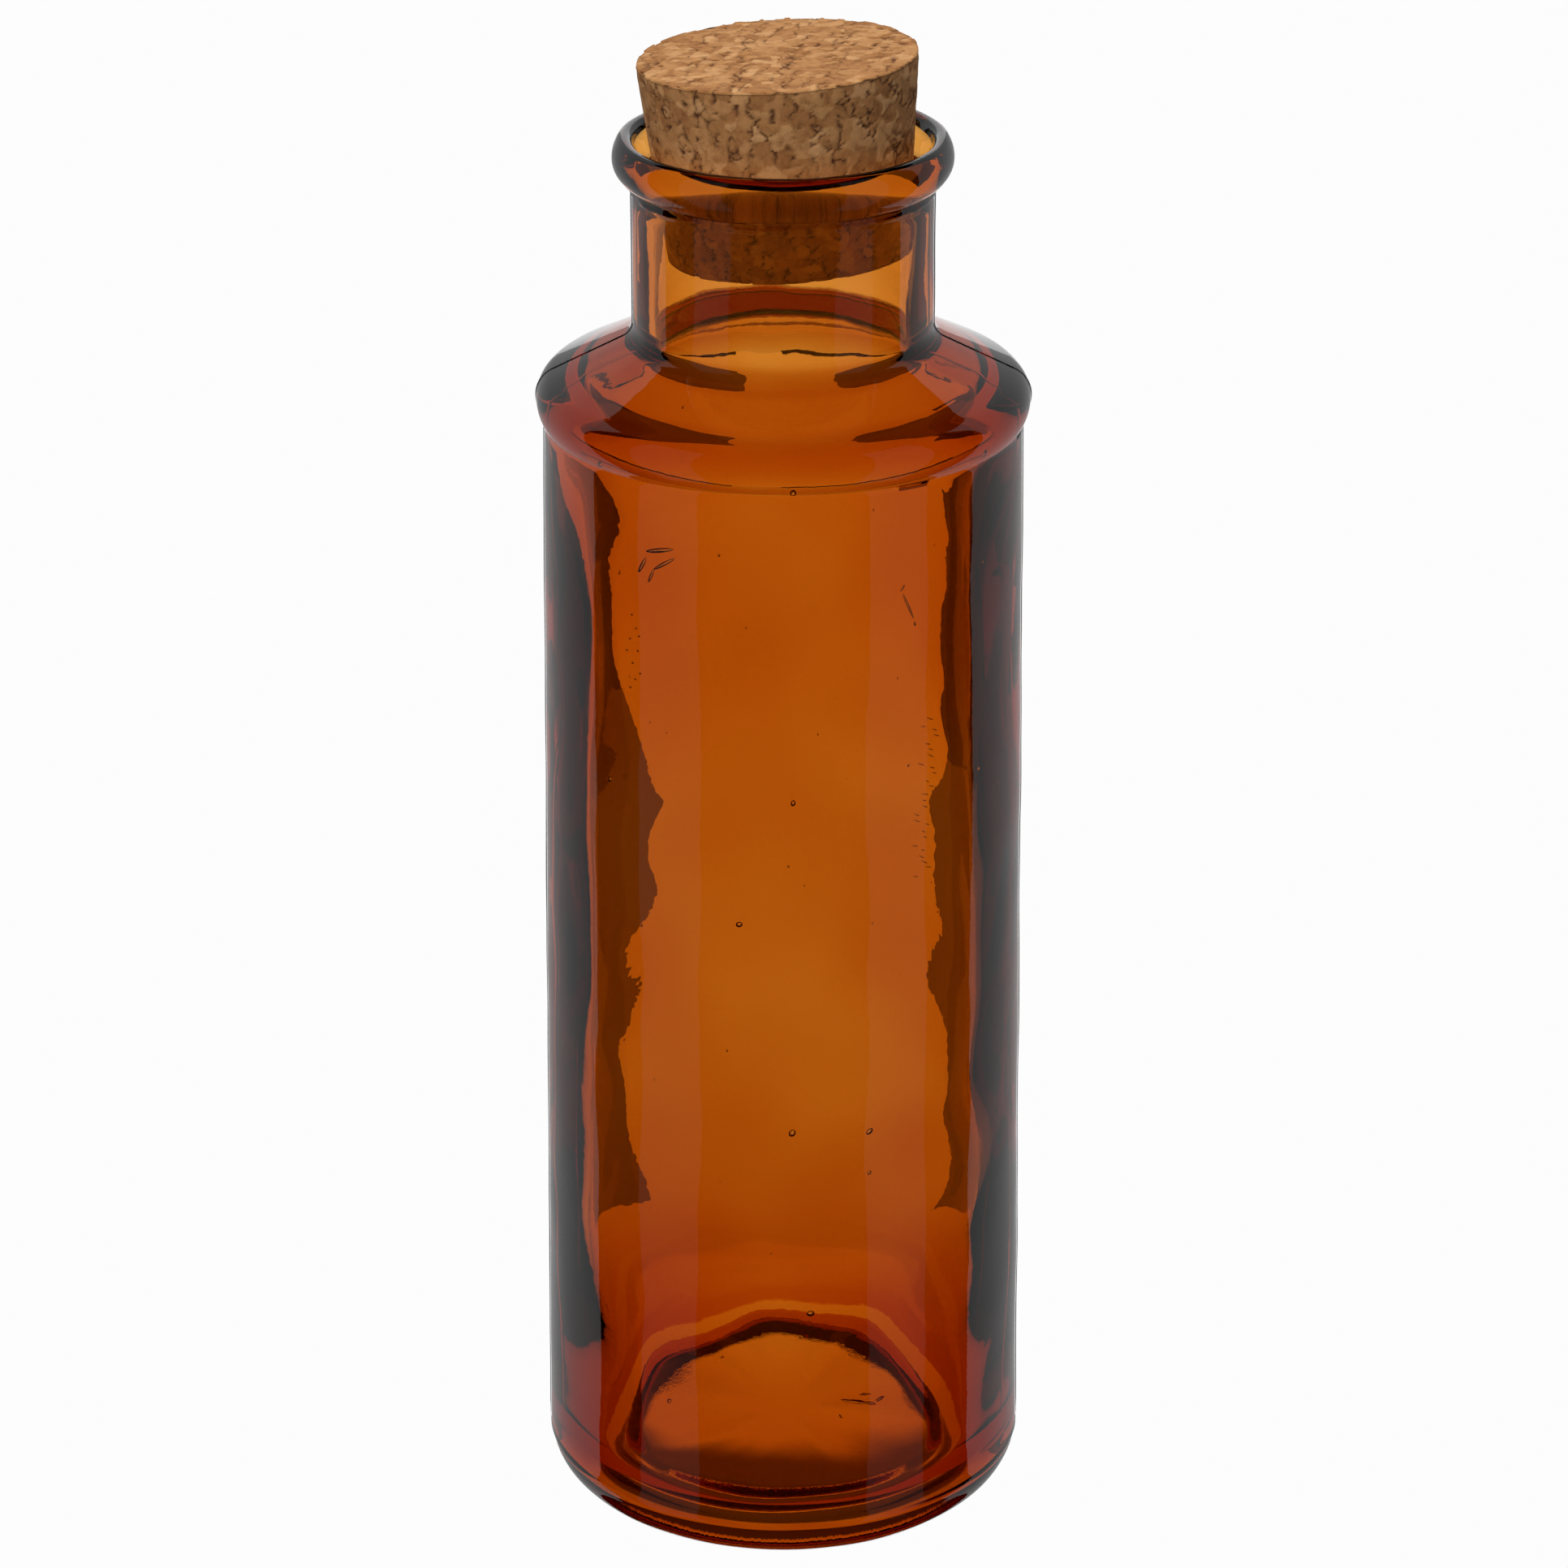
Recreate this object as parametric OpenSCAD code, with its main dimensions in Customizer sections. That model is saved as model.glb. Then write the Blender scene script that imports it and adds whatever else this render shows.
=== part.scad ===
// Amber moulded glass bottle with a tapered agglomerated-cork stopper.
// Origin: centre of the bearing ring under the base. +Z runs up the bottle, +Y points away from the front.

/* [Body] */
// Outside diameter of the body at the shoulder crease
body_d = 58; // [52:0.5:64]
// Outside diameter of the body just above the heel
base_d = 60.4; // [52:0.2:66]
// Height of the crease where the body meets the shoulder bead
body_h = 142.5; // [90:0.5:180]
// Thickness of the shoulder and of the wall below it
wall = 4.2; // [2.8:0.1:4.6]
// Thickness of the wall just above the base
wall_low = 3; // [2:0.1:4]

/* [Base] */
// Rise of the hollow underside
push_up = 4.2; // [4.1:0.1:7]
// Thickness of the raised floor above the hollow
floor_t = 2.6; // [2.5:0.1:4]
// Outside diameter of the raised part of the floor
kick_d = 43; // [38:0.2:43.4]
// Height of the groove that runs round the raised floor
groove_h = 3.5; // [2.6:0.1:3.6]
// Height at which the groove's outer side runs into the wall
fillet_h = 11; // [8:0.1:16]
// Width of the flat bearing ring that the bottle stands on
ring_w = 2.1; // [1:0.1:2.4]
// Radius of the heel
heel_r = 6.5; // [4:0.1:6.6]

/* [Shoulder] */
// How far the shoulder bead stands proud of the body
bead_proud = 0.9; // [0.6:0.1:1.8]
// Radius of the bead below its widest line
bead_low_r = 4.9; // [3:0.1:7]
// Radius of the bead above its widest line
bead_top_r = 3.6; // [1.5:0.1:4.5]
// Slope of the shoulder below horizontal, in degrees
shoulder_slope = 26; // [20:1:38]

/* [Neck] */
// Outside diameter of the neck
neck_d = 36.2; // [35:0.1:38]
// Diameter of the bore that takes the stopper
bore_d = 31.2; // [31.1:0.1:32]
// Straight length of the neck, from the shoulder fillet up to the lip
neck_h = 17.4; // [12:0.1:26]
// Radius where the neck runs into the shoulder
neck_fillet = 2.1; // [1:0.1:4]

/* [Lip] */
// Outside diameter of the rolled lip
lip_d = 40.8; // [40.6:0.1:42]
// Radius of the lip below its widest line
lip_low_r = 3.3; // [3:0.1:4.5]
// Radius of the lip above its widest line
lip_top_r = 4.1; // [3.7:0.1:4.1]
// Depth of the flared mouth below the lip's widest line
flare_h = 6.4; // [5:0.1:9]

/* [Stopper] */
// Diameter of the stopper's large end
cork_top_d = 33.9; // [33:0.1:34.1]
// Diameter of the stopper's small end
cork_end_d = 29.1; // [27:0.1:29.2]
// Length of the stopper
cork_len = 24; // [23.5:0.1:32]
// How far the stopper's small end sits below the widest line of the lip
cork_depth = 11.4; // [8:0.1:11.6]
// Lean of the stopper to the left, in degrees
cork_lean = 3.3; // [0:0.1:3.4]
// Rounding of the stopper's two edges
cork_edge = 0.5; // [0.2:0.1:1]

/* [Hidden] */
$fn = 96;

// Number of steps in each arc of the outline
arc_steps = 10;
// Angle at which the lip's upper arc turns over into the crest, and where the crest ends
crest_from = 32;
crest_to = 155;
crest_r = 1;
// Rounding inside the shoulder, at the neck and at the wall
inner_neck_r = 4;
inner_wall_r = 5;

body_r = body_d / 2;
base_r = base_d / 2;
bead_r = body_r + bead_proud;
inside_r = body_r - wall;
inside_low_r = base_r - wall_low;
kick_r = kick_d / 2;
neck_r = neck_d / 2;
bore_r = bore_d / 2;
lip_r = lip_d / 2;

// Widest line of the shoulder bead
bead_low_c = bead_r - bead_low_r;
crease_angle = acos((body_r - bead_low_c) / bead_low_r);
bead_z = body_h + bead_low_r * sin(crease_angle);

// Shoulder cone: all points where r * sin(slope) + z * cos(slope) = cone
bead_top_c = bead_r - bead_top_r;
cone = bead_top_c * sin(shoulder_slope) + bead_z * cos(shoulder_slope) + bead_top_r;
function cone_z(r, off) = (cone + off - r * sin(shoulder_slope)) / cos(shoulder_slope);
neck_z = cone_z(neck_r + neck_fillet, neck_fillet);

// Lip: the arc below its widest line starts on the neck cylinder
lip_low_c = lip_r - lip_low_r;
lip_angle = acos((neck_r - lip_low_c) / lip_low_r);
lip_z = neck_z + neck_h + lip_low_r * sin(lip_angle);
lip_top_c = lip_r - lip_top_r;
crest_c = [lip_top_c + (lip_top_r - crest_r) * cos(crest_from),
    lip_z + (lip_top_r - crest_r) * sin(crest_from)];
// Flare from the crest down into the bore
flare_top = crest_c + crest_r * [cos(crest_to), sin(crest_to)];
flare_turn = [bore_r, flare_top[1] + (flare_top[0] - bore_r) / tan(crest_to)];
flare_end = [bore_r, lip_z - flare_h];

// Hollow underside: its flat top, its side and the turn into the bearing ring
hollow_edge = [kick_r - 2.9, push_up];
hollow_foot = [kick_r - 1.6, push_up * 0.3];
ring_in = [base_r - heel_r - ring_w, 0];
// Raised floor inside: its flat top, its side and the groove round it
floor_h = push_up + floor_t;
kick_edge = [kick_r - 2.1, floor_h];
kick_side = [kick_r - 0.1, floor_h - 1.7];
kick_foot = [kick_r, groove_h + 1.2];
groove_end = [kick_r + 1.3, groove_h];

cork_top_r = cork_top_d / 2;
cork_end_r = cork_end_d / 2;

// Points along an arc from angle a0 to angle a1, in degrees
function arc(c, r, a0, a1) =
    [for (i = [0:arc_steps]) let (a = a0 + (a1 - a0) * i / arc_steps) c + r * [cos(a), sin(a)]];

// Points along a quadratic curve that starts at p, ends at q and turns at t
function bend(p, t, q) =
    [for (i = [0:arc_steps]) let (u = i / arc_steps)
        (1 - u) * (1 - u) * p + 2 * u * (1 - u) * t + u * u * q];

outside = concat(
    [[0, push_up]],
    bend(hollow_edge, [kick_r - 1.8, push_up], hollow_foot),
    bend(hollow_foot, [kick_r - 1.1, 0], ring_in),
    arc([base_r - heel_r, heel_r], heel_r, -90, 0),
    arc([bead_low_c, bead_z], bead_low_r, -crease_angle, 0),
    arc([bead_top_c, bead_z], bead_top_r, 0, 90 - shoulder_slope),
    arc([neck_r + neck_fillet, neck_z], neck_fillet, 270 - shoulder_slope, 180),
    arc([lip_low_c, lip_z], lip_low_r, -lip_angle, 0),
    arc([lip_top_c, lip_z], lip_top_r, 0, crest_from));

inside = concat(
    arc(crest_c, crest_r, crest_from, crest_to),
    bend(flare_top, flare_turn, flare_end),
    arc([bore_r + inner_neck_r, cone_z(bore_r + inner_neck_r, inner_neck_r - wall)],
        inner_neck_r, 180, 270 - shoulder_slope),
    arc([inside_r - inner_wall_r, cone_z(inside_r - inner_wall_r, -inner_wall_r - wall)],
        inner_wall_r, 90 - shoulder_slope, 0),
    bend([inside_low_r, fillet_h], [inside_low_r, groove_h], groove_end),
    bend(groove_end, [kick_r + 0.2, groove_h + 0.3], kick_foot),
    bend(kick_side, [kick_r - 0.3, floor_h], kick_edge),
    [[0, floor_h]]);

// One-piece moulded bottle: base, body, shoulder, neck and rolled lip
module glass_bottle() {
    color([0.69, 0.30, 0.05, 0.75])
        rotate_extrude()
            polygon(concat(outside, inside));
}

// Tapered stopper of bonded cork granules. Its axis leans about its crossing with the lip's widest plane.
module cork_stopper() {
    color([0.62, 0.45, 0.30])
        translate([0, 0, lip_z])
            rotate([0, -cork_lean, 0])
                translate([0, 0, -cork_depth])
                    rotate_extrude()
                        polygon(concat(
                            [[0, 0]],
                            arc([cork_end_r - cork_edge, cork_edge], cork_edge, -90, 0),
                            arc([cork_top_r - cork_edge, cork_len - cork_edge], cork_edge, 0, 90),
                            [[0, cork_len]]));
}

glass_bottle();
cork_stopper();
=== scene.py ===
"""Looks of the amber glass bottle and its cork stopper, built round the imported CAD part."""
import math

import bpy
import numpy as np
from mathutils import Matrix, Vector, kdtree


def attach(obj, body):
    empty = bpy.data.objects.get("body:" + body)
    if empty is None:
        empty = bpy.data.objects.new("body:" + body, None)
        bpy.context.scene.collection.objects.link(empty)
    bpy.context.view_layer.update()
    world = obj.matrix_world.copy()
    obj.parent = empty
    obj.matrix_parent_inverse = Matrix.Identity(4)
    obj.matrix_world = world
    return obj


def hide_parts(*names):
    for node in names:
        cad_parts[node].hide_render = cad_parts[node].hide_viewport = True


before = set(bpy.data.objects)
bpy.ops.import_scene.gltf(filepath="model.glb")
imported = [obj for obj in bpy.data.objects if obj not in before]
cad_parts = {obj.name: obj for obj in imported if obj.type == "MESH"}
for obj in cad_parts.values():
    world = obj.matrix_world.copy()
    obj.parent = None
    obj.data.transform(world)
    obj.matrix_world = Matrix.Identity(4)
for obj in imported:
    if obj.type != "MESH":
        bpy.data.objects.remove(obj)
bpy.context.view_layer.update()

MM = 0.001

# ---------------------------------------------------------------- sizes, in mm, as in the CAD part
BODY_R, BASE_R, CREASE_Z, HEEL_R = 29.0, 30.2, 142.5, 6.5
BEAD_R, BEAD_Z, BEAD_LOW_R, BEAD_TOP_R = 29.9, 145.33, 4.9, 3.6
SLOPE = 26.0
NECK_R, NECK_TOP, NECK_FILLET = 18.1, 172.05, 2.1
LIP_R, LIP_Z, LIP_LOW_R, LIP_TOP_R = 20.4, 175.19, 3.3, 4.1
CREST_R, CREST_FROM, CREST_TO = 1.0, 32, 155
BORE_R, FLARE_H = 15.6, 6.4
WALL, WALL_LOW = 4.2, 3.0
INNER_NECK_R, INNER_WALL_R = 4.0, 5.0
PUSH_UP, FLOOR_Z, KICK_R = 4.2, 6.8, 21.5
GROOVE_Z, FILLET_TOP, RING_IN_R = 3.5, 11.0, 21.6
CORK_TOP_R, CORK_END_R, CORK_LEN, CORK_DEPTH, CORK_EDGE = 16.95, 14.55, 24.0, 11.4, 0.5
CORK_LEAN = math.radians(3.3)

# ---------------------------------------------------------------- what only the looks have, in mm
# how far the two surfaces of the glass wander
OUTER_WAVE, INNER_WAVE = 0.035, 0.14
# more glass at the foot of the wall, fading out between two heights
FOOT_THICK, FOOT_FULL_Z, FOOT_END_Z = 2.9, 10, 50
# more glass towards the mould seams, and how uneven it is there
SIDE_THICK, SIDE_WAVE = 1.0, 0.15
# less glass at the back of the shoulder, and faint ribs across the front
SHOULDER_THIN, RIB = 1.3, 0.012
# raised lines: mould seams, joint of the base plate, joint of the neck ring
SEAM, PLATE_LINE, RING_LINE = 0.13, 0.10, 0.10
# height of the wear on the underside, against the fine unevenness of the rest
GRIT = 5.0
# painted pool of light under the bottle, with painted shadow under its front: how far back the pool's centre
# is, its radius, half its soft edge, and the strength outside it, which is the painted shadow
POOL = (28.0, 30.0, 3.0, 0.15)


# ---------------------------------------------------------------- small helpers
def arc(cx, cz, r, a0, a1, step=0.4):
    """Points along an arc of the outline, from angle a0 to a1 in degrees."""
    n = max(4, int(abs(math.radians(a1 - a0)) * r / step) + 1)
    a = np.radians(np.linspace(a0, a1, n + 1))
    return np.stack([cx + r * np.cos(a), cz + r * np.sin(a)], 1)


def line(p, q, step=0.65):
    """Points along a straight part of the outline."""
    p, q = np.array(p, float), np.array(q, float)
    n = max(1, int(np.linalg.norm(q - p) / step) + 1)
    t = np.linspace(0, 1, n + 1)[:, None]
    return p + (q - p) * t


def bend(p, t, q, n=16):
    """A quadratic curve from p to q that turns at t."""
    p, t, q = (np.array(v, float) for v in (p, t, q))
    u = np.linspace(0, 1, n + 1)[:, None]
    return (1 - u) ** 2 * p + 2 * u * (1 - u) * t + u ** 2 * q


def join(parts):
    """One outline from its parts, without doubled points."""
    pts = np.concatenate(parts)
    keep = np.r_[True, np.linalg.norm(np.diff(pts, axis=0), axis=1) > 1e-4]
    return pts[keep]


def normals_2d(pts):
    """The direction out of the glass at each point of an outline."""
    t = np.gradient(pts, axis=0)
    n = np.stack([t[:, 1], -t[:, 0]], 1)
    return n / np.maximum(np.linalg.norm(n, axis=1, keepdims=True), 1e-9)


def bump(x, centre, width):
    """A smooth hump of height 1."""
    return np.exp(-((x - centre) / width) ** 2)


def smooth(x, lo, hi):
    """A smooth step from 0 at lo to 1 at hi."""
    t = np.clip((x - lo) / (hi - lo), 0, 1)
    return t * t * (3 - 2 * t)


def waves(seed, phi, z, shortest, longest, count, radius=28.0):
    """Smooth noise that closes on itself round the axis; its spread is about 1."""
    rng = np.random.default_rng(seed)
    out = np.zeros(np.broadcast(phi, z).shape)
    total = 0.0
    for _ in range(count):
        length = math.exp(rng.uniform(math.log(shortest), math.log(longest)))
        angle = rng.uniform(0, math.pi)
        m = round(2 * math.pi / length * radius * math.cos(angle))
        k = 2 * math.pi / length * math.sin(angle)
        amp = length / longest
        out += amp * np.cos(m * phi + k * z + rng.uniform(0, 2 * math.pi))
        total += amp * amp / 2
    return out / math.sqrt(total)


def make_object(name, verts, faces, material, smooth_faces=True):
    """An object from points in millimetres and a dict of four- and three-sided faces."""
    mesh = bpy.data.meshes.new(name)
    mesh.from_pydata([], [], [])
    verts = np.asarray(verts, dtype=np.float32) * MM
    mesh.vertices.add(len(verts))
    mesh.vertices.foreach_set("co", verts.ravel())
    quads = np.asarray(faces["quads"], dtype=np.int32).reshape(-1, 4)
    tris = np.asarray(faces["tris"], dtype=np.int32).reshape(-1, 3)
    loops = np.concatenate([quads.ravel(), tris.ravel()])
    starts = np.concatenate([np.arange(len(quads)) * 4, len(quads) * 4 + np.arange(len(tris)) * 3])
    mesh.loops.add(len(loops))
    mesh.loops.foreach_set("vertex_index", loops)
    mesh.polygons.add(len(starts))
    mesh.polygons.foreach_set("loop_start", starts.astype(np.int32))
    mesh.update(calc_edges=True)
    mesh.validate()
    mesh.polygons.foreach_set("use_smooth", np.full(len(mesh.polygons), smooth_faces))
    mesh.materials.append(material)
    obj = bpy.data.objects.new(name, mesh)
    bpy.context.scene.collection.objects.link(obj)
    return obj


def revolve_faces(rows, cols, first=0, pole_start=None, pole_end=None):
    """Faces of a closed grid of rows x cols vertices, turned so that they face outwards."""
    i = np.arange(rows - 1)[:, None]
    j = np.arange(cols)[None, :]
    a = first + i * cols + j
    b = first + i * cols + (j + 1) % cols
    c = b + cols
    d = a + cols
    quads = np.stack([a, b, c, d], -1).reshape(-1, 4)
    tris = []
    jj = np.arange(cols)
    if pole_start is not None:
        tris.append(np.stack([first + (jj + 1) % cols, first + jj, np.full(cols, pole_start)], 1))
    if pole_end is not None:
        last = first + (rows - 1) * cols
        tris.append(np.stack([last + jj, last + (jj + 1) % cols, np.full(cols, pole_end)], 1))
    tris = np.concatenate(tris) if tris else np.zeros((0, 3), int)
    return {"quads": quads, "tris": tris}


# ---------------------------------------------------------------- the glass
def azimuths():
    """Angles round the bottle from +X: finer at the two mould seams and on the front and back."""
    steps = []
    a = -180.0
    while a < 180.0 - 1e-6:
        steps.append(a)
        seam = min(abs(a), abs(abs(a) - 180))
        if seam < 2.0:
            a += 0.2
        elif abs(abs(a) - 90) < 30:
            a += 0.6
        else:
            a += 0.9
    return np.radians(np.array(steps))


def glass_outline():
    """Outline of the glass from the centre of the underside, over the lip, to the centre of the floor.
    Returns the points and the index at which the inside begins."""
    crease_angle = math.degrees(math.acos((BODY_R - (BEAD_R - BEAD_LOW_R)) / BEAD_LOW_R))
    cos_s, sin_s = math.cos(math.radians(SLOPE)), math.sin(math.radians(SLOPE))
    cone = (BEAD_R - BEAD_TOP_R) * sin_s + BEAD_Z * cos_s + BEAD_TOP_R

    def cone_z(r, off):
        """Height, at radius r, of the shoulder's slope moved outwards by off."""
        return (cone + off - r * sin_s) / cos_s

    hollow_foot = (KICK_R - 1.6, PUSH_UP * 0.3)
    fillet_r, fillet_z = NECK_R + NECK_FILLET, cone_z(NECK_R + NECK_FILLET, NECK_FILLET)
    lip_angle = math.degrees(math.acos((NECK_R - (LIP_R - LIP_LOW_R)) / LIP_LOW_R))
    outside = [
        line((0.4, PUSH_UP), (KICK_R - 2.9, PUSH_UP), 0.5),
        bend((KICK_R - 2.9, PUSH_UP), (KICK_R - 1.8, PUSH_UP), hollow_foot, 26),
        bend(hollow_foot, (KICK_R - 1.1, 0), (RING_IN_R, 0), 18),
        line((RING_IN_R, 0), (BASE_R - HEEL_R, 0), 0.5),
        arc(BASE_R - HEEL_R, HEEL_R, HEEL_R, -90, 0),
        line((BASE_R, HEEL_R), (BODY_R, CREASE_Z), 0.7),
        arc(BEAD_R - BEAD_LOW_R, BEAD_Z, BEAD_LOW_R, -crease_angle, 0, 0.22),
        arc(BEAD_R - BEAD_TOP_R, BEAD_Z, BEAD_TOP_R, 0, 90 - SLOPE, 0.25),
        line((BEAD_R - BEAD_TOP_R + BEAD_TOP_R * sin_s, BEAD_Z + BEAD_TOP_R * cos_s),
             (fillet_r - NECK_FILLET * sin_s, fillet_z - NECK_FILLET * cos_s), 0.4),
        arc(fillet_r, fillet_z, NECK_FILLET, 270 - SLOPE, 180, 0.25),
        line((NECK_R, fillet_z), (NECK_R, NECK_TOP - 3), 0.5),
        line((NECK_R, NECK_TOP - 3), (NECK_R, NECK_TOP), 0.14),
        arc(LIP_R - LIP_LOW_R, LIP_Z, LIP_LOW_R, -lip_angle, 0, 0.25),
        arc(LIP_R - LIP_TOP_R, LIP_Z, LIP_TOP_R, 0, CREST_FROM, 0.25),
        arc(LIP_R - LIP_TOP_R + (LIP_TOP_R - CREST_R) * math.cos(math.radians(CREST_FROM)),
            LIP_Z + (LIP_TOP_R - CREST_R) * math.sin(math.radians(CREST_FROM)),
            CREST_R, CREST_FROM, CREST_TO, 0.12),
    ]
    top = outside[-1][-1]
    turn = (BORE_R, top[1] + (top[0] - BORE_R) / math.tan(math.radians(CREST_TO)))
    neck_turn_r, neck_turn_z = BORE_R + INNER_NECK_R, cone_z(BORE_R + INNER_NECK_R, INNER_NECK_R - WALL)
    inside_r, base_in = BODY_R - WALL, BASE_R - WALL_LOW
    wall_turn_r, wall_turn_z = inside_r - INNER_WALL_R, cone_z(inside_r - INNER_WALL_R, -INNER_WALL_R - WALL)
    groove_end, kick_foot = (KICK_R + 1.3, GROOVE_Z), (KICK_R, GROOVE_Z + 1.2)
    kick_side, kick_edge = (KICK_R - 0.1, FLOOR_Z - 1.7), (KICK_R - 2.1, FLOOR_Z)
    inside = [
        bend(top, turn, (BORE_R, LIP_Z - FLARE_H), 26),
        line((BORE_R, LIP_Z - FLARE_H), (BORE_R, LIP_Z - 9.5), 0.5),
        bend((BORE_R, LIP_Z - 9.5), (BORE_R, LIP_Z - 11.5), (BORE_R, LIP_Z - 13.0), 14),
        line((BORE_R, LIP_Z - 13.0), (BORE_R, neck_turn_z), 0.5),
        arc(neck_turn_r, neck_turn_z, INNER_NECK_R, 180, 270 - SLOPE, 0.3),
        line((neck_turn_r - INNER_NECK_R * sin_s, neck_turn_z - INNER_NECK_R * cos_s),
             (wall_turn_r + INNER_WALL_R * sin_s, wall_turn_z + INNER_WALL_R * cos_s), 0.5),
        arc(wall_turn_r, wall_turn_z, INNER_WALL_R, 90 - SLOPE, 0, 0.3),
        line((inside_r, wall_turn_z), (base_in, FILLET_TOP), 0.6),
        bend((base_in, FILLET_TOP), (base_in, GROOVE_Z), groove_end, 24),
        bend(groove_end, (KICK_R + 0.2, GROOVE_Z + 0.3), kick_foot, 14),
        line(kick_foot, kick_side, 0.3),
        bend(kick_side, (KICK_R - 0.3, FLOOR_Z), kick_edge, 26),
        line(kick_edge, (0.4, FLOOR_Z), 0.5),
    ]
    out_pts = join(outside)
    return join([out_pts] + inside), len(out_pts)


def build_glass(material):
    """The bottle: its outline turned round the axis, each surface moved along its normal, and the voids."""
    pts, n_out = glass_outline()
    nrm = normals_2d(pts)
    phi = azimuths()
    cols = len(phi)
    r = pts[:, 0][:, None]
    z = pts[:, 1][:, None]
    ph = phi[None, :]
    inside = (np.arange(len(pts)) >= n_out)[:, None]
    fade_axis = smooth(r, 2, 12)

    # outside: nearly true, with the slight waviness of a moulded surface
    d_out = OUTER_WAVE * waves(11, ph, z, 9, 45, 50) * fade_axis
    # inside: blown against nothing, so it wanders more
    calm = 1 - 0.75 * smooth(z, 138, 150)
    d_in = INNER_WAVE * calm * waves(23, ph, z + 0.4 * r, 11, 60, 60) * fade_axis
    d_in += side_glass(phi, z)
    d_in += FOOT_THICK * (1 - smooth(z, FOOT_FULL_Z, FOOT_END_Z)) * (r > 22) * (z > 5)
    back = np.clip(np.sin(ph), 0, 1) ** 2
    d_in -= SHOULDER_THIN * back * bump(z, 144, 9)
    front_az = np.degrees(ph) + 90
    d_in += RIB * np.cos(2.1 * (front_az + 0.12 * (z - 96))) * bump(front_az, -1, 13) * bump(z, 96, 15)

    # mould seams down both sides, over the shoulder and up the neck
    side = np.minimum(np.abs(ph), np.abs(np.abs(ph) - math.pi)) * np.maximum(r, 1)
    seam = SEAM * bump(side, 0, 0.2) * smooth(z, 5, 8) * (1 - smooth(z, 171.0, 172.0))
    d_out = d_out + seam
    # joint line of the base plate and of the neck ring
    d_out += PLATE_LINE * bump(z, 6.2, 0.25) * (r > 25)
    ring = bump(z, 171.2, 0.28) * (r < 19.5)
    d_out += ring * (RING_LINE + 0.30 * bump(side, 0, 0.9) + 0.05 * waves(31, ph, z, 3, 12, 30, 18.0))

    d = np.where(inside, d_in, d_out)
    rr = r + nrm[:, 0][:, None] * d
    zz = z + nrm[:, 1][:, None] * d
    zz = np.where(~inside, np.maximum(zz, 0.0), zz)
    verts = np.stack([rr * np.cos(ph), rr * np.sin(ph), np.broadcast_to(zz, rr.shape)], -1).reshape(-1, 3)
    n = len(verts)
    poles = np.array([[0, 0, PUSH_UP], [0, 0, FLOOR_Z]])
    verts = np.concatenate([verts, poles])
    faces = revolve_faces(len(pts), cols, 0, n, n + 1)
    for centre, along, across, out, half in flaws():
        faces, verts = add_void(faces, verts, centre, along, across, out, half)
    obj = make_object("bottle_glass", verts, faces, material)
    # the underside is worn; the centre of the underside is the first of the two poles
    worn = np.broadcast_to((~inside) * (z < 11) * (1 - smooth(r, 20.5, 23.5)), rr.shape)
    attr = obj.data.attributes.new("worn", "FLOAT", "POINT")
    values = np.zeros(len(verts), np.float32)
    values[:n + 1] = np.r_[worn.ravel(), 1.0]
    attr.data.foreach_set("value", values)
    return obj


# bubbles and drawn-out streaks in the front wall: degrees from the front, height, half length, half width,
# and turn from level in degrees
BUBBLES = [(-10.7, 87.6, 0.42, 0.36, 20), (2.4, 103.5, 0.4, 0.3, 80), (2.2, 60.1, 0.5, 0.42, 60),
           (21.5, 59.4, 0.5, 0.35, 40), (21.5, 53.8, 0.3, 0.22, 40), (2.4, 142.9, 0.45, 0.38, 90),
           (-49.5, 143.3, 0.4, 0.3, 50), (56.4, 143.7, 0.4, 0.3, 50), (-47, 103, 0.4, 0.3, 70),
           (56, 103, 0.35, 0.3, 60), (6.7, 35.4, 0.5, 0.4, 0), (33.5, 124.6, 0.3, 0.16, -70)]
STREAKS = [(-36.2, 131.7, 1.2, 0.26, 62), (-31.2, 134.0, 1.9, 0.3, 14), (-33.6, 130.6, 1.0, 0.2, 66),
           (-30.0, 132.4, 1.7, 0.24, 34), (31.6, 127.0, 1.9, 0.16, -66), (30.0, 129.4, 0.45, 0.14, 50)]
# small specks on the left: degrees from the front, height
SPECKS = [(-39.4, 125.1), (-38.1, 123.5), (-40, 122), (-37.6, 120.7), (-39.2, 119),
          (-36.9, 117.9), (-40, 115.8), (-38.4, 117.0), (-37.2, 122.6), (-41.0, 120.4)]
# a hooked mark and a few specks in the raised floor: x, y, half length, half width, turn
FLOOR_MARKS = [(10.3, 0.6, 2.3, 0.3, -12), (13.2, 1.0, 0.8, 0.24, 35), (11.2, 2.0, 0.8, 0.14, 5),
               (3.4, 13.6, 0.55, 0.3, -70), (7.8, -2.4, 0.35, 0.12, -60), (-9.0, 9.5, 0.3, 0.2, 0),
               (-14.5, 2.5, 0.3, 0.25, 0)]
FLOOR_MARK_Z = 5.6
# how deep in the wall the bubbles lie, and the most that any mark takes of the glass's thickness
MARK_DEPTH, MARK_THICK = 1.6, 0.3


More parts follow.
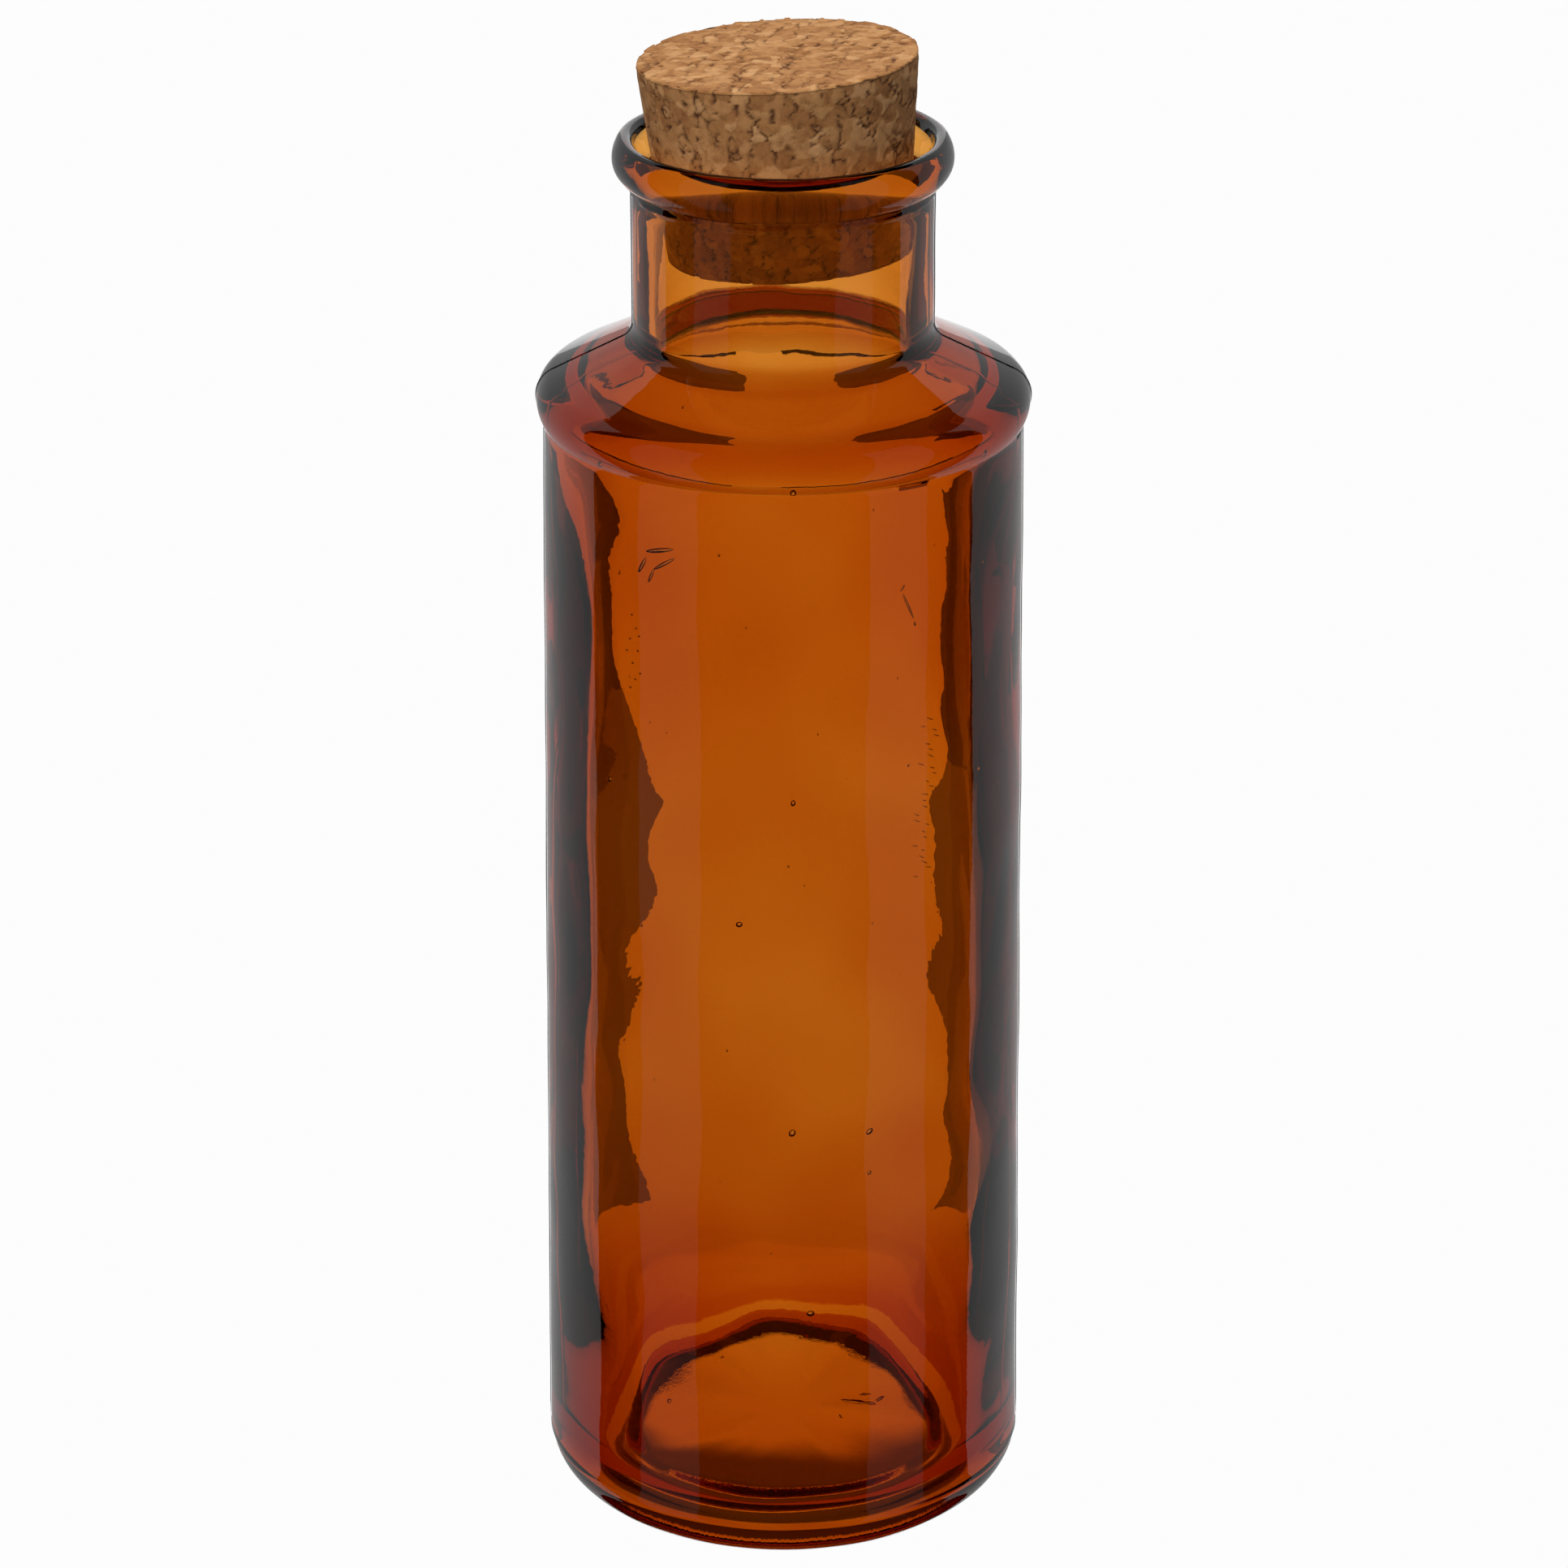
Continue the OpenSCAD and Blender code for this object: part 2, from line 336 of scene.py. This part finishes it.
def flaws():
    """Centre, three axes and half sizes of every void in the glass."""
    rng = np.random.default_rng(19)
    marks = BUBBLES + STREAKS + [(az, z, 0.17, 0.13, 0) for az, z in SPECKS]
    # short nicks scattered down the right-hand side
    for k in range(26):
        z = 112 - 0.8 * k
        az = 38.5 - 0.12 * k + rng.uniform(-2.5, 2.5)
        marks.append((az, z, rng.uniform(0.25, 0.6), 0.07, rng.uniform(-35, -15)))
    # seed bubbles all over
    for _ in range(60):
        size = rng.uniform(0.07, 0.16)
        marks.append((rng.uniform(-180, 180), rng.uniform(18, 138), size * rng.uniform(1, 1.6), size, 90))
    for az, z, length, width, turn in marks:
        a, t = math.radians(az - 90), math.radians(turn)
        radius = BASE_R - (z - 6.5) / 136 * (BASE_R - BODY_R) - MARK_DEPTH
        out = np.array([math.cos(a), math.sin(a), 0])
        level, up = np.array([-math.sin(a), math.cos(a), 0]), np.array([0, 0, 1.0])
        along = math.cos(t) * level + math.sin(t) * up
        across = math.cos(t) * up - math.sin(t) * level
        yield out * radius + up * z, along, across, out, (length, width, min(width, MARK_THICK))
    for x, y, length, width, turn in FLOOR_MARKS:
        t = math.radians(turn)
        yield (np.array([x, y, FLOOR_MARK_Z]), np.array([math.cos(t), math.sin(t), 0]),
               np.array([-math.sin(t), math.cos(t), 0]), np.array([0, 0, 1.0]), (length, width, MARK_THICK))


def add_void(faces, verts, centre, along, across, out, half):
    """Add a small oval hollow to the glass: a closed shell whose faces look inwards."""
    rows, cols, first = 7, 14, len(verts)
    lat = np.radians(np.linspace(-75, 75, rows))[:, None]
    lon = np.linspace(0, 2 * math.pi, cols, endpoint=False)[None, :]
    x, y = np.cos(lat) * np.cos(lon), np.cos(lat) * np.sin(lon)
    ring = np.stack([x, y, np.sin(lat) + 0 * x], -1).reshape(-1, 3)
    shell = np.concatenate([ring, [[0, 0, -1], [0, 0, 1]]])
    sizes = np.array([half[2], half[1], half[0]])
    points = centre + (shell * sizes) @ np.stack([out, across, along])
    more = revolve_faces(rows, cols, first, first + rows * cols, first + rows * cols + 1)
    axes_hand = np.linalg.det(np.stack([out, across, along]))
    flip = slice(None, None, -1) if axes_hand > 0 else slice(None)
    faces = {key: np.concatenate([faces[key], more[key][:, flip]]) for key in ("quads", "tris")}
    return faces, np.concatenate([verts, points])


def side_glass(phi, z):
    """The wall is thicker and less even towards the two mould seams."""
    az = np.degrees(np.abs((phi + math.pi / 2 + math.pi) % (2 * math.pi) - math.pi))[None, :]
    from_seam = np.abs(az - 90)
    low, high = smooth(z, 25, 48), 1 - smooth(z, 125, 142)
    near = (1 - smooth(from_seam, 6, 36)) * low * high
    return near * (SIDE_THICK + SIDE_WAVE * waves(41, phi[None, :], z, 9, 50, 40))


# ---------------------------------------------------------------- the cork
def build_cork(material):
    """The stopper, built upright and then set leaning in the mouth."""
    cols, edge = 420, CORK_EDGE
    slant = (CORK_TOP_R - CORK_END_R) / CORK_LEN
    pts = join([
        line((0.3, 0), (CORK_END_R - edge, 0), 0.35),
        arc(CORK_END_R - edge, edge, edge, -90, 0, 0.12),
        line((CORK_END_R + slant * edge, edge), (CORK_TOP_R - slant * edge, CORK_LEN - edge), 0.22),
        arc(CORK_TOP_R - edge, CORK_LEN - edge, edge, 0, 90, 0.1),
        line((CORK_TOP_R - edge, CORK_LEN), (0.3, CORK_LEN), 0.24),
    ])
    nrm = normals_2d(pts)
    phi = np.linspace(-math.pi, math.pi, cols, endpoint=False)[None, :]
    r, z = pts[:, 0][:, None], pts[:, 1][:, None]
    x, y = r * np.cos(phi), r * np.sin(phi)
    zz = np.broadcast_to(z, x.shape)
    pos = np.stack([x, y, zz], -1).reshape(-1, 3)

    grain, crack = cork_granules(pos)
    rim = bump(np.hypot(pos[:, 2] - CORK_LEN, np.hypot(pos[:, 0], pos[:, 1]) - CORK_TOP_R), 0, 1.1)
    # the granules stand up unevenly, the cracks are deep, and the back of the top edge has crumbled
    depth = 0.10 * (grain - 0.5) - 0.10 - 0.22 * crack
    back = np.clip(pos[:, 1] / CORK_TOP_R, -0.2, 1) * 0.5 + 0.35
    depth -= rim * back * 1.5 * np.clip(grain - 0.3, 0, 1)
    depth = depth.reshape(x.shape)
    rr = r + nrm[:, 0][:, None] * depth
    z2 = z + nrm[:, 1][:, None] * depth
    verts = np.stack([rr * np.cos(phi), rr * np.sin(phi), z2], -1).reshape(-1, 3)
    n = len(verts)
    verts = np.concatenate([verts, [[0, 0, 0.0], [0, 0, CORK_LEN - 0.1]]])
    # stand the stopper in the mouth, leaning to the left
    verts[:, 2] -= CORK_DEPTH
    c, s = math.cos(CORK_LEAN), math.sin(CORK_LEAN)
    vx, vz = verts[:, 0].copy(), verts[:, 2].copy()
    verts[:, 0] = vx * c - vz * s
    verts[:, 2] = vx * s + vz * c + LIP_Z
    faces = revolve_faces(len(pts), cols, 0, n, n + 1)
    obj = make_object("cork_body", verts, faces, material)
    for name, values in (("grain", np.r_[grain, 0.5, 0.5]), ("crack", np.r_[crack, 0, 0])):
        attr = obj.data.attributes.new(name, "FLOAT", "POINT")
        attr.data.foreach_set("value", values.astype(np.float32))
    return obj


def cork_granules(pos):
    """Which granule each point of the cork's skin belongs to, as a number from 0 to 1, and how deep
    the crack or the pit is there. A granule is three lobes in a row, so most granules are long."""
    rng = np.random.default_rng(77)
    count = 6500
    seeds = np.stack([rng.uniform(-17.5, 17.5, count), rng.uniform(-17.5, 17.5, count),
                      rng.uniform(-1, CORK_LEN + 1, count)], 1)
    seeds = seeds[np.hypot(seeds[:, 0], seeds[:, 1]) < 17.8]
    turn = rng.normal(size=(len(seeds), 3))
    turn /= np.linalg.norm(turn, axis=1, keepdims=True)
    reach = rng.uniform(0.25, 0.95, len(seeds))[:, None]
    lobes = np.concatenate([seeds - turn * reach, seeds, seeds + turn * reach])
    owner = np.tile(np.arange(len(seeds)), 3)
    shade = rng.uniform(0, 1, len(seeds))
    tree = kdtree.KDTree(len(lobes))
    for i, p in enumerate(lobes):
        tree.insert(p, i)
    tree.balance()
    directions, offsets = rng.normal(0, 2.2, (3, 3)), rng.uniform(0, 6, 3)
    warp = np.stack([np.sin(pos @ w + o) for w, o in zip(directions, offsets)], 1)
    warped = pos + 0.18 * warp
    grain = np.zeros(len(pos))
    gap = np.full(len(pos), 2.0)
    pit = np.zeros(len(pos))
    lost = rng.uniform(0, 1, len(seeds)) < 0.05
    for i, p in enumerate(warped):
        near = tree.find_n(p, 6)
        own = owner[near[0][1]]
        grain[i] = shade[own]
        pit[i] = lost[own] * max(0.0, min(1.0, (0.5 - near[0][2]) / 0.2))
        for _, k, dist in near[1:]:
            if owner[k] != own:
                gap[i] = dist - near[0][2]
                break
    open_seam = 0.5 + 0.5 * np.sin(pos @ rng.normal(0, 0.9, 3) + 2 * np.sin(pos @ rng.normal(0, 0.7, 3)))
    crack = np.exp(-(gap / 0.11) ** 2) * smooth(open_seam, 0.4, 0.9)
    return grain, np.maximum(crack, pit)


# ---------------------------------------------------------------- materials
def new_material(name):
    """An empty node material: itself, its tree and its output node."""
    mat = bpy.data.materials.new(name)
    mat.use_nodes = True
    nt = mat.node_tree
    nt.nodes.clear()
    return mat, nt, nt.nodes.new("ShaderNodeOutputMaterial")


def add_node(nt, kind, inputs=(), **settings):
    """A new node, with some of its settings and some of its inputs given."""
    node = nt.nodes.new("ShaderNode" + kind)
    for key, value in settings.items():
        setattr(node, key, value)
    for key, value in dict(inputs).items():
        node.inputs[key].default_value = value
    return node


def ramp(nt, stops):
    """A colour ramp from a list of positions and colours."""
    node = nt.nodes.new("ShaderNodeValToRGB")
    elements = node.color_ramp.elements
    while len(elements) > 1:
        elements.remove(elements[-1])
    elements[0].position, elements[0].color = stops[0][0], (*stops[0][1], 1)
    for position, color in stops[1:]:
        elements.new(position).color = (*color, 1)
    return node


def glass_material():
    """Clear glass with an amber body, faintly uneven, and ground by wear where "worn" is 1."""
    mat, nt, out = new_material("amber_glass")
    link = nt.links.new
    bsdf = add_node(nt, "BsdfPrincipled", {"Base Color": (1, 1, 1, 1), "Roughness": 0.0, "IOR": 1.52,
                                           "Transmission Weight": 1.0})
    volume = add_node(nt, "VolumeAbsorption", {"Color": (0.862, 0.592, 0.03, 1), "Density": 772.0})
    link(bsdf.outputs[0], out.inputs["Surface"])
    link(volume.outputs[0], out.inputs["Volume"])
    coord = add_node(nt, "TexCoord")
    noise = add_node(nt, "TexNoise", {"Scale": 420, "Detail": 2})
    bmp = add_node(nt, "Bump", {"Strength": 0.03, "Distance": 0.0003})
    link(coord.outputs["Object"], noise.inputs["Vector"])
    worn = add_node(nt, "Attribute", attribute_name="worn")
    grit = add_node(nt, "TexNoise", {"Scale": 4500, "Detail": 1})
    rough = add_node(nt, "Math", operation="MULTIPLY")
    height = add_node(nt, "Math", {1: GRIT}, operation="MULTIPLY_ADD")
    link(coord.outputs["Object"], grit.inputs["Vector"])
    link(worn.outputs["Fac"], rough.inputs[0])
    link(grit.outputs["Fac"], rough.inputs[1])
    link(rough.outputs[0], height.inputs[0])
    link(noise.outputs["Fac"], height.inputs[2])
    link(height.outputs[0], bmp.inputs["Height"])
    link(bmp.outputs[0], bsdf.inputs["Normal"])
    return mat


def cork_material():
    """A shade for each granule, fine speckle over all of them, and dark cracks between them."""
    mat, nt, out = new_material("cork")
    link = nt.links.new
    bsdf = add_node(nt, "BsdfPrincipled", {"Roughness": 0.85, "Specular IOR Level": 0.2})
    link(bsdf.outputs[0], out.inputs["Surface"])
    grain = add_node(nt, "Attribute", attribute_name="grain")
    crack = add_node(nt, "Attribute", attribute_name="crack")
    coord = add_node(nt, "TexCoord")
    fine = add_node(nt, "TexNoise", {"Scale": 900, "Detail": 6, "Roughness": 0.75})
    link(coord.outputs["Object"], fine.inputs["Vector"])
    base = ramp(nt, [(0.0, (0.31, 0.135, 0.048)), (0.35, (0.38, 0.178, 0.066)),
                     (0.7, (0.44, 0.220, 0.086)), (1.0, (0.53, 0.29, 0.13))])
    link(grain.outputs["Fac"], base.inputs["Fac"])
    speckle = ramp(nt, [(0.3, (0.55, 0.48, 0.42)), (0.5, (0.95, 0.93, 0.9)), (0.75, (1.15, 1.15, 1.12))])
    link(fine.outputs["Fac"], speckle.inputs["Fac"])
    mul = add_node(nt, "Mix", {"Factor": 1.0}, data_type="RGBA", blend_type="MULTIPLY")
    link(base.outputs[0], mul.inputs["A"])
    link(speckle.outputs[0], mul.inputs["B"])
    dark = add_node(nt, "Mix", {"B": (0.07, 0.025, 0.012, 1)}, data_type="RGBA")
    link(crack.outputs["Fac"], dark.inputs["Factor"])
    link(mul.outputs["Result"], dark.inputs["A"])
    link(dark.outputs["Result"], bsdf.inputs["Base Color"])
    bmp = add_node(nt, "Bump", {"Strength": 0.5, "Distance": 0.0002})
    link(fine.outputs["Fac"], bmp.inputs["Height"])
    link(bmp.outputs[0], bsdf.inputs["Normal"])
    return mat


def glow_material(name, strength):
    """Evenly lit white paper or card."""
    mat, nt, out = new_material(name)
    glow = add_node(nt, "Emission", {"Color": (1, 1, 1, 1), "Strength": strength})
    nt.links.new(glow.outputs[0], out.inputs["Surface"])
    return mat


def floor_painted_light():
    """Paper with painted light: brighter away from the bottle, with an off-centre painted pool of light under
    the back of the bottle and painted shadow under its front.
    """
    mat, nt, out = new_material("stage_floor_glow")
    link = nt.links.new
    coord = add_node(nt, "TexCoord")
    back, radius, soft, shade = (POOL[0] * MM, POOL[1] * MM, POOL[2] * MM, POOL[3])

    def distance(centre_y):
        node = add_node(nt, "VectorMath", {1: (0, centre_y, 0)}, operation="DISTANCE")
        link(coord.outputs["Object"], node.inputs[0])
        return node.outputs["Value"]

    def over(value, lo, hi, first, last):
        node = add_node(nt, "MapRange", {"From Min": lo, "From Max": hi, "To Min": first, "To Max": last},
                        interpolation_type="SMOOTHSTEP")
        link(value, node.inputs["Value"])
        return node.outputs[0]

    def maths(operation, a, b):
        node = add_node(nt, "Math", operation=operation)
        link(a, node.inputs[0])
        link(b, node.inputs[1])
        return node.outputs[0]

    # painted pool of light under the back of the bottle, painted shadow under its front and sides, and
    # painted brightening of the paper further out
    pool = over(distance(back), radius - soft, radius + soft, 1.15, shade)
    beyond = over(distance(0), 0.0215, 0.0235, 0.0, 1.0)
    far = over(distance(0), 0.12, 0.45, 1.0, 1.15)
    glow = add_node(nt, "Emission")
    link(maths("MULTIPLY", maths("MAXIMUM", pool, beyond), far), glow.inputs["Strength"])
    link(glow.outputs[0], out.inputs["Surface"])
    return mat


# ---------------------------------------------------------------- the studio
def seen_by(obj, camera=False, transmission=False, glossy=False, diffuse=False, shadow=False):
    """Which kinds of ray meet a piece of the studio."""
    obj.visible_camera = camera
    obj.visible_transmission = transmission
    obj.visible_glossy = glossy
    obj.visible_diffuse = diffuse
    obj.visible_shadow = shadow
    obj.visible_volume_scatter = False


def band(name, rows, material):
    """A flat-shaded band of faces between two rows of points, given in metres."""
    j = np.arange(len(rows[0]) - 1)
    n = len(rows[0])
    quads = np.stack([j, j + 1, n + 1 + j, n + j], 1)
    faces = {"quads": quads, "tris": np.zeros((0, 3))}
    return make_object(name, np.concatenate(rows) / MM, faces, material, False)


def level_disc(name, radius, z, material):
    """A level disc, with its centre on the bottle's axis."""
    a = np.radians(np.linspace(-180, 180, 49))
    rows = [np.stack([q * np.sin(a), -q * np.cos(a), np.full_like(a, z)], 1) for q in (0.0, radius)]
    return band(name, rows, material)


def curved_card(name, radius, az0, az1, z0, z1, material):
    """An upright card bent round the bottle; azimuth 0 is the front, positive to the viewer's right."""
    a = np.radians(np.linspace(az0, az1, 41))
    rows = [np.stack([radius * np.sin(a), -radius * np.cos(a), np.full_like(a, q)], 1) for q in (z0, z1)]
    return band(name, rows, material)


def lane_card(name, side, lane, out_az, r0, r1, material):
    """A level card on one side of the lane behind the bottle. The lane's edge is a list of distances and
    angles from straight behind; the card reaches from there round to out_az."""
    r = np.linspace(r0, r1, 90)[:, None]
    edge = np.interp(r, *np.array(lane).T)
    t = np.linspace(0, 1, 25)[None, :]
    a = np.radians(edge + (out_az - edge) * t)
    verts = np.stack([side * r * np.sin(a), r * np.cos(a), np.full_like(a, -0.00002)], -1)
    faces = revolve_faces(*a.shape)
    keep = np.arange(len(faces["quads"])) % a.shape[1] != a.shape[1] - 1
    faces["quads"] = faces["quads"][keep]
    return make_object(name, verts.reshape(-1, 3) * 1000, faces, material, False)


def dome(name, radius, low, high, material):
    """Part of a round backdrop, between two heights in degrees."""
    rows, cols = 16, 72
    el = np.radians(np.linspace(low, high - 0.01, rows))[:, None]
    az = np.linspace(0, 2 * math.pi, cols, endpoint=False)[None, :]
    verts = np.stack([np.cos(el) * np.cos(az), np.cos(el) * np.sin(az), np.sin(el) + 0 * az], -1)
    faces = revolve_faces(rows, cols)
    return make_object(name, verts.reshape(-1, 3) * radius * 1000, faces, material)


# edges of the bright lane behind the bottle: distance in metres, degrees from straight behind
LANE_LEFT = [(0.07, 22), (0.09, 20), (0.11, 21), (0.14, 21), (0.16, 14), (0.19, 10), (0.22, 8), (0.24, 7),
             (0.26, 9), (0.30, 13), (0.35, 19), (0.40, 23)]
LANE_RIGHT = [(0.07, 24), (0.09, 22), (0.12, 27), (0.145, 24), (0.17, 14), (0.19, 11), (0.21, 10),
              (0.23, 9.5), (0.25, 10), (0.27, 13), (0.29, 17), (0.33, 20), (0.36, 15), (0.385, 14),
              (0.42, 25)]
# the cards beside the lane: where the grey ones start, where the dark ones start, and where those end
CARDS_FROM, DARK_FROM, DARK_TO = 0.07, 0.30, 0.60
PAPER_Z = -0.00004


def build_stage():
    """The pale floor and backdrop, the cards and soft boxes, and the lights."""
    paper = glow_material("stage_paper", 0.98)
    grey = glow_material("stage_grey", 0.22)
    dark = glow_material("stage_dark", 0.05)
    mirror_grey = glow_material("stage_mirror_grey", 0.42)
    softbox = glow_material("stage_softbox", 0.14)

    def put(obj, **rays):
        seen_by(obj, **rays)

    put(level_disc("floor", 6.0, PAPER_Z, paper), camera=True)
    put(dome("backdrop", 6.0, 0, 90, paper), camera=True)
    # floor seen only through the glass, with a painted pool of light and painted shadow under the bottle
    put(level_disc("floor_painted_light", 6.0, PAPER_Z, floor_painted_light()), transmission=True)
    put(dome("backdrop_low", 5.9, 0, 30, paper), transmission=True)
    put(dome("ceiling", 5.9, 30, 90, grey), transmission=True)
    # grey and dark cards on the floor, seen only through the glass, leave a bright lane behind the bottle
    sides = (("card_right", 1, LANE_RIGHT, 60), ("card_left_back", -1, LANE_LEFT, 42))
    for name, side, lane, out_az in sides:
        put(lane_card(name, side, lane, out_az, CARDS_FROM, DARK_FROM, grey), transmission=True)
        put(lane_card(name + "_far", side, lane, out_az, DARK_FROM, DARK_TO, dark), transmission=True)
    # what the outer skin of the glass mirrors
    for sign, side in ((-1, "left"), (1, "right")):
        front, back = sorted((sign * 40, sign * 71)), sorted((sign * 100, sign * 166))
        put(curved_card("softbox_" + side, 0.5, *front, -0.5, 0.6, softbox), glossy=True)
        put(curved_card("side_light_" + side, 0.5, *back, -0.5, 0.6, mirror_grey), glossy=True)
    put(curved_card("backlight", 0.52, 165, 195, -0.6, 0.7, paper), glossy=True)

    world = bpy.data.worlds.new("studio")
    bpy.context.scene.world = world
    world.use_nodes = True
    world.node_tree.nodes["Background"].inputs["Color"].default_value = (1, 1, 1, 1)
    world.node_tree.nodes["Background"].inputs["Strength"].default_value = 0.25
    world.cycles_visibility.glossy = False
    world.cycles_visibility.transmission = False

    add_light("key", (-0.25, -0.55, 0.55), 0.35, 3.0)
    add_light("top", (0.1, 0.15, 0.8), 0.4, 3.7)


def add_light(name, place, size, power):
    """A round soft light that looks at the bottle."""
    data = bpy.data.lights.new(name, "AREA")
    data.shape = "DISK"
    data.size = size
    data.energy = power
    obj = bpy.data.objects.new(name, data)
    obj.location = place
    aim = Vector((0, 0, 0.15)) - Vector(place)
    obj.rotation_euler = aim.to_track_quat("-Z", "Y").to_euler()
    obj.visible_glossy = False
    obj.visible_transmission = False
    bpy.context.scene.collection.objects.link(obj)


def build_camera():
    """The main view: from the front, 22 degrees down."""
    data = bpy.data.cameras.new("camera")
    data.sensor_width = 36.0
    data.lens = 130.4
    data.clip_start = 0.01
    data.clip_end = 30
    obj = bpy.data.objects.new("camera", data)
    obj.location = (0.0001, -0.6534, 0.3630)
    obj.rotation_euler = (math.radians(90 - 22.35), 0, 0)
    bpy.context.scene.collection.objects.link(obj)
    bpy.context.scene.camera = obj


# ---------------------------------------------------------------- put together
glass_mat = glass_material()
cork_mat = cork_material()

bottle = build_glass(glass_mat)
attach(bottle, "bottle")
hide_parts("glass_bottle")

cork = build_cork(cork_mat)
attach(cork, "stopper")
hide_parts("cork_stopper")

build_stage()
build_camera()

scene = bpy.context.scene
scene.view_settings.view_transform = "Standard"
scene.cycles.max_bounces = 24
scene.cycles.transmission_bounces = 24
scene.cycles.glossy_bounces = 12
scene.cycles.diffuse_bounces = 3
scene.cycles.caustics_reflective = True
scene.cycles.caustics_refractive = True
